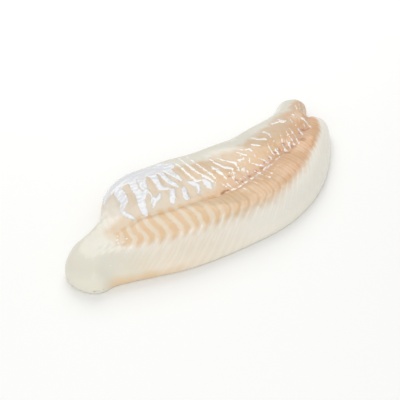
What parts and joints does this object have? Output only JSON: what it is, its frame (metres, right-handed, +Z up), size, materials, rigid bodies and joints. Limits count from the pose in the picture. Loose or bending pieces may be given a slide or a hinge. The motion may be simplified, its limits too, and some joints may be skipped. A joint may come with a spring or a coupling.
{
  "type": "salted cod fillet",
  "caption": "Skinless side of salted cod, a long bowed fillet with a thick loin half, a thinner belly half, a seam between them and zigzag muscle flakes.",
  "frame": {"origin": "centre of the outline's box, on the flat underside", "axes": "+X from the blunt head end to the notched tail end, +Y from the loin side to the belly side, +Z up"},
  "size_m": [0.391, 0.164, 0.0305],
  "materials": {
    "flesh": "moist raw flesh, pale cream, soft gloss"
  },
  "bodies": {
    "root": {"cod_fillet": "flesh"}
  },
  "joints": []
}
